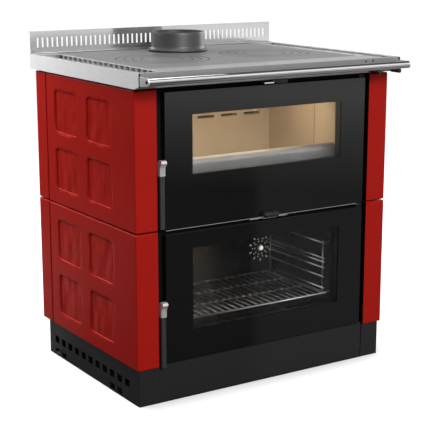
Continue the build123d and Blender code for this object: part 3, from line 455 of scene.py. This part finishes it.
sooty_iron = mottled("sooty_iron", (0.035, 0.034, 0.033), (0.085, 0.083, 0.080),
                     patches=24, grain=420, smooth=0.55, rough=0.8, metal=0.25, relief=(0.4, 0.0006))
for node in ("firebox_shell", "fire_bed", "fire_grate", "ash_pan", "baffle_plate"):
    dress(node, sooty_iron)
smoke_wall_thick = 0.002
smoke_wall_inside = 0.0035
smoke_wall_shorter = 0.004
smoke_wall_wide = panel_high.x - panel_low.x
smoke_wall_tall = panel_high.z - panel_low.z - smoke_wall_shorter
smoke_wall = bmesh.new()
add_box(smoke_wall, (smoke_wall_wide, smoke_wall_thick, smoke_wall_tall))
add_piece("smoke_wall", smoke_wall, sooty_iron, "stove_body",
          Matrix.Translation((0.0, panel_low.y - smoke_wall_inside, panel_middle_z)))
guard_iron = mottled("guard_iron", (0.29, 0.285, 0.28), (0.37, 0.365, 0.36),
                     patches=30, grain=420, smooth=0.48, rough=0.60, metal=0.9, relief=(0.1, 0.0002))
dress("ember_guard", guard_iron)
board_joint_y = -0.0995
board_joint_half = 0.0012
lining_board, tree, shader = new_finish("lining_board")
tint(tree, shader, speckle(tree, 9), (0.44, 0.35, 0.24), (0.62, 0.52, 0.38))
y = split(tree, object_space(tree))[1]
shade_where(tree, shader, sums(tree, "COMPARE", y, board_joint_y, board_joint_half), (0.38, 0.38, 0.38))
shader.inputs["Roughness"].default_value = 0.85
emboss(tree, shader, flakes(tree, 260)["Distance"], strength=0.35, height=0.0008)
for node in ("lining_left", "lining_right", "lining_back"):
    dress(node, lining_board, edge=0.001)

# Oven: a steel box in dark enamel with a perforated back cover, chromed wire side racks and a wire
# shelf. A lamp under a glass dome stands among the cover's holes, before a pale reflector that
# glows with painted lamp light.
oven_enamel = mottled("oven_enamel", (0.009, 0.009, 0.0092), (0.015, 0.0145, 0.014),
                      patches=60, grain=12, smooth=0.22, rough=0.30)
tree, shader = inside(oven_enamel)
shader.inputs["Specular IOR Level"].default_value = 0.25
dress("oven_box", oven_enamel)
dress("oven_back_cover", oven_enamel, edge=0.0003)
wire_chrome = mottled("wire_chrome", (0.72, 0.71, 0.70), (0.82, 0.81, 0.80),
                      patches=40, grain=300, smooth=0.30, rough=0.40, metal=1.0)
dress("oven_racks", wire_chrome, edge=None)
dress("oven_shelf", wire_chrome, edge=None)
bulb_radius = 0.0050
dome_radius = 0.0085
dome_glow = 0.06
lamp_low, lamp_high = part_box("oven_lamp")
lamp_x = (lamp_low.x + lamp_high.x) / 2
lamp_z = (lamp_low.z + lamp_high.z) / 2
lamp_glass = mottled("lamp_glass", (0.30, 0.29, 0.27), (0.38, 0.37, 0.35),
                     patches=90, grain=500, smooth=0.10, rough=0.22)
tree, shader = inside(lamp_glass)
from_bulb = measure(tree, "DISTANCE", object_space(tree), (lamp_x, lamp_low.y, lamp_z))
lamp_light = ramp(tree, from_bulb, bulb_radius, dome_radius, 1.0, dome_glow)
tree.links.new(lamp_light, shader.inputs["Emission Strength"])
shader.inputs["Emission Color"].default_value = (1.0, 0.95, 0.88, 1)
dress("oven_lamp", lamp_glass, edge=None)
reflector_radius = 0.046
reflector_behind = 0.004
cover_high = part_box("oven_back_cover")[1]
# The reflector glows by itself, though it is no lamp: painted light from the oven lamp.
reflector_painted_glow, tree, shader = new_finish("reflector_painted_glow")
tint(tree, shader, speckle(tree, 60), (0.70, 0.69, 0.66), (0.80, 0.79, 0.76))
shader.inputs["Emission Color"].default_value = (1.0, 0.96, 0.90, 1)
shader.inputs["Emission Strength"].default_value = 0.30
reflector = bmesh.new()
bmesh.ops.create_circle(reflector, cap_ends=True, radius=reflector_radius, segments=48)
bmesh.ops.rotate(reflector, verts=reflector.verts, matrix=Matrix.Rotation(math.pi / 2, 3, "X"))
add_piece("lamp_reflector", reflector, reflector_painted_glow, "stove_body",
          Matrix.Translation((lamp_x, cover_high.y + reflector_behind, lamp_z)))


# Side panels: steel sheet folded round the front corner, pressed with four soft squares in each tier
# and fired with glossy red enamel. Their inner edge beside the doors is darkened nearly to black, a
# painted shade of the gap there. A narrow strip closes the rear behind a seam.
def hypotenuse(tree, first, second):
    """The straight distance over two sides at a right angle."""
    squares = sums(tree, "ADD", sums(tree, "MULTIPLY", first, first), sums(tree, "MULTIPLY", second, second))
    return sums(tree, "SQRT", squares)


squares_middle_y = 0.034
square_off_y = 0.094
square_half_y = 0.068
tier_middle_z = 0.2765
tier_half = 0.18
square_off_z = 0.0795
square_half_z = 0.0575
square_corner = 0.016
press_inside = -0.003
press_outside = 0.008
press_depth = 0.0036
wave_share = 1.5
ripple_share = 0.05
gap_shade_past = 0.0008
red_enamel, tree, shader = new_finish("red_enamel")
tint(tree, shader, speckle(tree, 5), (0.285, 0.0080, 0.0050), (0.330, 0.0100, 0.0064))
shader.inputs["Specular IOR Level"].default_value = 0.09
ripple = speckle(tree, 26, detail=1.0)
roughen(tree, shader, ripple, smooth=0.30, rough=0.38)
x, y, z = split(tree, object_space(tree))
beside_y = sums(tree, "ABSOLUTE", sums(tree, "SUBTRACT", y, squares_middle_y))
beside_y = sums(tree, "ABSOLUTE", sums(tree, "SUBTRACT", beside_y, square_off_y))
beside_y = sums(tree, "SUBTRACT", beside_y, square_half_y - square_corner)
beside_z = sums(tree, "WRAP", sums(tree, "SUBTRACT", z, tier_middle_z), tier_half, -tier_half)
beside_z = sums(tree, "SUBTRACT", sums(tree, "ABSOLUTE", beside_z), square_off_z)
beside_z = sums(tree, "SUBTRACT", sums(tree, "ABSOLUTE", beside_z), square_half_z - square_corner)
past_corner = hypotenuse(tree, sums(tree, "MAXIMUM", beside_y, 0.0), sums(tree, "MAXIMUM", beside_z, 0.0))
within = sums(tree, "MINIMUM", sums(tree, "MAXIMUM", beside_y, beside_z), 0.0)
past_edge = sums(tree, "SUBTRACT", sums(tree, "ADD", past_corner, within), square_corner)
flat_sheet = ramp(tree, past_edge, press_inside, press_outside, 0.0, 1.0, "SMOOTHSTEP")
waves = speckle(tree, 24, detail=0.5, stretch=(1, 1.2, 0.7))
waves = sums(tree, "MULTIPLY", sums(tree, "SUBTRACT", 1.0, flat_sheet), waves)
relief = sums(tree, "ADD", flat_sheet, sums(tree, "MULTIPLY", waves, wave_share))
relief = sums(tree, "ADD", relief, sums(tree, "MULTIPLY", ripple, ripple_share))
emboss(tree, shader, relief, strength=1.0, height=press_depth)
# The inner edge of each front strip is darkened nearly to black: painted shade of the gap beside the doors.
strip_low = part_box("panel_right_lower")[0]
inner_edge_shade = sums(tree, "LESS_THAN", sums(tree, "ABSOLUTE", x), strip_low.x + gap_shade_past)
shade_where(tree, shader, inner_edge_shade, (0.02, 0.2, 0.3))
for node in ("panel_left_lower", "panel_left_upper", "panel_right_lower", "panel_right_upper"):
    dress(node, red_enamel, edge=0.0014)
dress("rear_strips", red_enamel, edge=0.0008)


# Hob frame and backsplash: stainless sheet, brushed along its length, folded and welded. The frame
# has an open channel down each side with air slots in its inner wall; two small black screws hold
# its nose. The frame's top and the front of its nose are painted far darker than its sides, and the
# inside of each channel darker too: painted shade.
def brushed(name, dark, pale, lengthwise, smooth, rough, metal):
    """Stainless steel with its brush marks along one axis, X being 0 and Y being 1."""
    marks_across = 1500.0
    marks_along = 16.0
    material, tree, shader = new_finish(name)
    stretch = [marks_across, marks_across, marks_across]
    stretch[lengthwise] = marks_along
    marks = speckle(tree, 1.0, detail=6.0, stretch=stretch)
    tint(tree, shader, marks, dark, pale)
    roughen(tree, shader, marks, smooth, rough)
    emboss(tree, shader, marks, strength=0.06, height=0.0002)
    shader.inputs["Metallic"].default_value = metal
    return material


nose_y = -0.270
channel_outside_x = 0.3975
channel_front_y = -0.279
channel_rim_z = 0.8592
worktop = brushed("worktop", (0.84, 0.84, 0.835), (0.90, 0.90, 0.895),
                  lengthwise=1, smooth=0.26, rough=0.34, metal=0.25)
tree, shader = inside(worktop)
surface = tree.nodes.new("ShaderNodeTexCoord").outputs
x, y, z = split(tree, surface["Object"])
facing_y, facing_z = split(tree, surface["Normal"])[1:]
# The top faces and the front of the nose are darkened to a quarter: painted shade, while the sides stay
# bright.
nose = sums(tree, "MULTIPLY", sums(tree, "LESS_THAN", y, nose_y), facing_y)
painted_top_shade = sums(tree, "MAXIMUM", facing_z, sums(tree, "MULTIPLY", nose, -1.0))
shade_where(tree, shader, painted_top_shade, (0.25, 0.25, 0.25))
# Inside each side channel the steel is darkened too: painted shade of the recess.
channel = sums(tree, "LESS_THAN", sums(tree, "ABSOLUTE", x), channel_outside_x)
channel = sums(tree, "MULTIPLY", channel, sums(tree, "GREATER_THAN", y, channel_front_y))
channel = sums(tree, "MULTIPLY", channel, sums(tree, "LESS_THAN", z, channel_rim_z))
shade_where(tree, shader, channel, (0.42, 0.42, 0.42))
dress("hob_frame", worktop, edge=0.0012)
stainless_wide = brushed("stainless_wide", (0.74, 0.74, 0.735), (0.80, 0.80, 0.795),
                         lengthwise=0, smooth=0.10, rough=0.16, metal=0.92)
dress("backsplash", stainless_wide, edge=0.0003)
nose_screw_y = -0.2885
nose_screw_z = 0.8535
nose_screw_radius = 0.0026
screw_black = mottled("screw_black", (0.010, 0.010, 0.010), (0.025, 0.025, 0.025),
                      patches=200, grain=900, smooth=0.35, rough=0.5, metal=0.4)
for number, x in enumerate((0.289, 0.313)):
    screw_head(f"nose_screw_{number}", (x, nose_screw_y, nose_screw_z), (0, -1, 0), nose_screw_radius,
               screw_black)

# Hob plate and rings: grey cast iron, ground flat on top and lightly oiled. The rings sit in stepped
# seats, dark with soot at the joints, and lift out one inside the other.
rings_x = 0.1655
rings_y = 0.012
joint_radii = (0.1259, 0.1034, 0.0814, 0.0577)
joint_half = 0.0016
ground_iron = mottled("ground_iron", (0.162, 0.162, 0.164), (0.205, 0.205, 0.207),
                      patches=11, grain=700, smooth=0.36, rough=0.48, metal=0.5, relief=(0.10, 0.0002))
tree, shader = inside(ground_iron)
x, y = split(tree, object_space(tree))[:2]
from_x = sums(tree, "SUBTRACT", sums(tree, "ABSOLUTE", x), rings_x)
radius = hypotenuse(tree, from_x, sums(tree, "SUBTRACT", y, rings_y))
soot = 0.0
for joint in joint_radii:
    off_joint = sums(tree, "ABSOLUTE", sums(tree, "SUBTRACT", radius, joint))
    soot = sums(tree, "ADD", soot, sums(tree, "LESS_THAN", off_joint, joint_half))
shade_where(tree, shader, soot, (0.12, 0.12, 0.12))
dress("hob_plate", ground_iron, edge=0.0010)
for side in ("left", "right"):
    for piece in ("hob_ring_outer_", "hob_ring_inner_", "hob_lid_"):
        dress(piece + side, ground_iron, edge=0.0010)

# Flue collar: a cast iron spigot with a flange, machined where the pipe fits and brushed with stove
# black. It is bolted to the plate from below.
stove_black = mottled("stove_black", (0.046, 0.046, 0.047), (0.064, 0.064, 0.065),
                      patches=14, grain=600, smooth=0.38, rough=0.52, metal=0.3, relief=(0.2, 0.0003))
dress("flue_collar", stove_black, edge=0)

# Front rail: a chromed steel tube between two stainless brackets. A black socket screw through each
# bracket's end holds the tube, and a thin black pad lies between bracket and hob frame, a dark piece
# that stands in for the shade in the gap there.
chrome = mottled("chrome", (0.74, 0.74, 0.745), (0.80, 0.80, 0.805),
                 patches=30, grain=400, smooth=0.025, rough=0.05, metal=1.0)
dress("rail_tube", chrome, edge=0)
stainless = brushed("stainless", (0.76, 0.76, 0.755), (0.82, 0.82, 0.815),
                    lengthwise=1, smooth=0.26, rough=0.34, metal=0.5)
dress("rail_brackets", stainless, edge=0.0005)
rail_screw_radius = 0.0042
pad_size = (0.0034, 0.0036, 0.0330)
pad_inward = 0.0013
pad_forward = 0.0008
pad_z = 0.8425
bracket_low, bracket_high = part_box("rail_brackets")
tube_low, tube_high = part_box("rail_tube")
tube_y = (tube_low.y + tube_high.y) / 2
tube_z = (tube_low.z + tube_high.z) / 2
hob_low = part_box("hob_frame")[0]
for side, out, x in (("left", -1, bracket_low.x), ("right", 1, bracket_high.x)):
    screw_head("rail_screw_" + side, (x, tube_y, tube_z), (out, 0, 0), rail_screw_radius,
               screw_black)
    # The black pad fills the gap at the bracket's end: a dark piece standing in for the shade there.
    pad = bmesh.new()
    add_box(pad, pad_size)
    add_piece("bracket_pad_" + side, pad, screw_black, "stove_body",
              Matrix.Translation((x - out * pad_inward, hob_low.y - pad_forward, pad_z)))


# Doors: a pane of ceramic glass printed black round its window, glued to a painted steel frame with
# a glass-rope seal. The oven door has a second pane behind its window, the firebox door a brushed
# steel trim under its glass.
def printed_border(name, low, high, window, body, material):
    """The black printed border of a door pane, with its clear window left open."""
    left, right, bottom, top = window
    mesh = bmesh.new()
    outer = [(low.x, low.z), (high.x, low.z), (high.x, high.z), (low.x, high.z)]
    inner = [(left, bottom), (right, bottom), (right, top), (left, top)]
    loops = []
    for y in (low.y, high.y):
        loops.append([mesh.verts.new((x, y, z)) for x, z in outer])
        loops.append([mesh.verts.new((x, y, z)) for x, z in inner])
    front_out, front_in, back_out, back_in = loops
    for step in range(4):
        after = (step + 1) % 4
        mesh.faces.new((front_out[step], front_out[after], front_in[after], front_in[step]))
        mesh.faces.new((back_out[after], back_out[step], back_in[step], back_in[after]))
        mesh.faces.new((front_out[after], front_out[step], back_out[step], back_out[after]))
        mesh.faces.new((front_in[step], front_in[after], back_in[after], back_in[step]))
    rim = [edge for edge in mesh.edges if all(v in front_out for v in edge.verts)]
    bmesh.ops.bevel(mesh, geom=rim, offset=0.001, segments=3, profile=0.5, affect="EDGES")
    bmesh.ops.recalc_face_normals(mesh, faces=mesh.faces[:])
    return add_piece(name, mesh, material, body)


def clear_window(name, low, high, window, body, material):
    """The clear window of a door pane, flush with its border."""
    left, right, bottom, top = window
    mesh = bmesh.new()
    bmesh.ops.create_cube(mesh, size=1.0)
    for corner in mesh.verts:
        x = left if corner.co.x < 0 else right
        y = low.y if corner.co.y < 0 else high.y
        z = bottom if corner.co.z < 0 else top
        corner.co = (x, y, z)
    add_piece(name, mesh, material, body)


def rope_seal(node, body, material):
    """A braided rope ring, a little wider than deep, in place of the seal's plain section."""
    inset = 0.006
    corner = 0.02
    corner_steps = 6
    round_steps = 12
    widen = 1.5
    low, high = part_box(node)
    radius = (high.y - low.y) / 2
    middle_y = (low.y + high.y) / 2
    left = low.x + inset + corner
    right = high.x - inset - corner
    bottom = low.z + inset + corner
    top = high.z - inset - corner
    path = []
    for x, z, start in ((right, bottom, -90), (right, top, 0), (left, top, 90), (left, bottom, 180)):
        for step in range(corner_steps + 1):
            turn = math.radians(start + 90 * step / corner_steps)
            path.append(Vector((x + corner * math.cos(turn), middle_y, z + corner * math.sin(turn))))
    deep = Vector((0, 1, 0))
    mesh = bmesh.new()
    rings = []
    for number, point in enumerate(path):
        ahead = (path[(number + 1) % len(path)] - path[number - 1]).normalized()
        wide = widen * ahead.cross(deep)
        ring = []
        for step in range(round_steps):
            turn = 2 * math.pi * step / round_steps
            ring.append(mesh.verts.new(point + radius * (wide * math.cos(turn) + deep * math.sin(turn))))
        rings.append(ring)
    for number, ring in enumerate(rings):
        after = rings[(number + 1) % len(rings)]
        for step in range(round_steps):
            beside = (step + 1) % round_steps
            mesh.faces.new((ring[step], ring[beside], after[beside], after[step]))
    bmesh.ops.recalc_face_normals(mesh, faces=mesh.faces[:])
    rope = add_piece(node + "_rope", mesh, material, body)
    rope.data.shade_smooth()
    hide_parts(node)


printed_black = mottled("printed_black", (0.0035, 0.0035, 0.0038), (0.005, 0.005, 0.0053),
                        patches=6, grain=14, smooth=0.03, rough=0.06)
clear_glass = mottled("clear_glass", (0.90, 0.90, 0.90), (0.95, 0.95, 0.95),
                      patches=4, grain=8, smooth=0.0, rough=0.004)
tree, shader = inside(clear_glass)
shader.inputs["Transmission Weight"].default_value = 1.0
shader.inputs["IOR"].default_value = 1.28
glass_rope, tree, shader = new_finish("glass_rope")
braid = tree.nodes.new("ShaderNodeTexWave")
braid.inputs["Scale"].default_value = 90
braid.inputs["Distortion"].default_value = 1.5
tree.links.new(object_space(tree), braid.inputs["Vector"])
tint(tree, shader, braid.outputs["Fac"], (0.05, 0.048, 0.045), (0.15, 0.145, 0.135))
emboss(tree, shader, braid.outputs["Fac"], strength=0.8, height=0.001)
shader.inputs["Roughness"].default_value = 0.9
window_half = 0.236
for door, bottom, top in (("firebox_door", 0.594, 0.746), ("oven_door", 0.185, 0.403)):
    low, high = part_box(door + "_glass")
    window = (-window_half, window_half, bottom, top)
    border = printed_border(door + "_border", low, high, window, door, printed_black)
    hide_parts(door + "_glass")
    clear_window(door + "_window", low, high, window, door, clear_glass)
    dress(door + "_frame", black_paint, edge=0.0004)
    rope_seal(door + "_seal", door, glass_rope)
dress("oven_door_inner_glass", clear_glass, edge=0)
trim_steel = brushed("trim_steel", (0.34, 0.34, 0.335), (0.40, 0.40, 0.395),
                     lengthwise=0, smooth=0.30, rough=0.40, metal=0.5)
dress("firebox_door_trim", trim_steel, edge=0.0002)

# Door handles: a hooked lever cast in metal and satin chromed, on a pivot through the door's edge. A
# long dark grip hangs from it.
satin_chrome = mottled("satin_chrome", (0.54, 0.54, 0.545), (0.62, 0.62, 0.625),
                       patches=60, grain=700, smooth=0.24, rough=0.34, metal=0.5)
satin_grip = mottled("satin_grip", (0.020, 0.020, 0.021), (0.032, 0.032, 0.034),
                     patches=30, grain=900, smooth=0.35, rough=0.48)
for door in ("firebox", "oven"):
    dress(door + "_handle_head", satin_chrome, edge=0.0012)
    dress(door + "_handle_grip", satin_grip, edge=0.0006)

# Air controls: a zinc-coated slide in the firebox door and a chromed one under the rail, each with a
# moulded black grip, and two chromed pull rods with turned black knobs.
moulded_black = mottled("moulded_black", (0.012, 0.012, 0.012), (0.020, 0.020, 0.020),
                        patches=60, grain=700, smooth=0.18, rough=0.30)
for control in ("primary_air_grip", "secondary_air_grip", "damper_knob", "warm_air_knob"):
    dress(control, moulded_black, edge=0)
dress("primary_air_slide", zinc_sheet, edge=0.0003)
for control in ("secondary_air_slide", "damper_rod", "warm_air_rod"):
    dress(control, chrome, edge=0.0003)

# Light inside: a warm glow from the top of the firebox down over its linings, and the oven's own lamp
# light, dim at the back and dimmer behind the window.
softbox("firebox_glow", (0.0, -0.10, 0.786), (0.0, -0.04, 0.55), width=0.42, height=0.16, watts=1.4,
        colour=(1.0, 0.78, 0.52))
oven_glow = softbox("oven_glow", (-0.14, -0.05, 0.42), (-0.16, 0.10, 0.25), width=0.22, height=0.20,
                    watts=3.2, colour=(1.0, 0.80, 0.60))
oven_glow.visible_glossy = False
oven_glow.data.spread = math.radians(90)
softbox("oven_front_glow", (-0.04, -0.17, 0.424), (-0.04, -0.185, 0.2), width=0.44, height=0.03, watts=0.20,
        colour=(1.0, 0.96, 0.90))
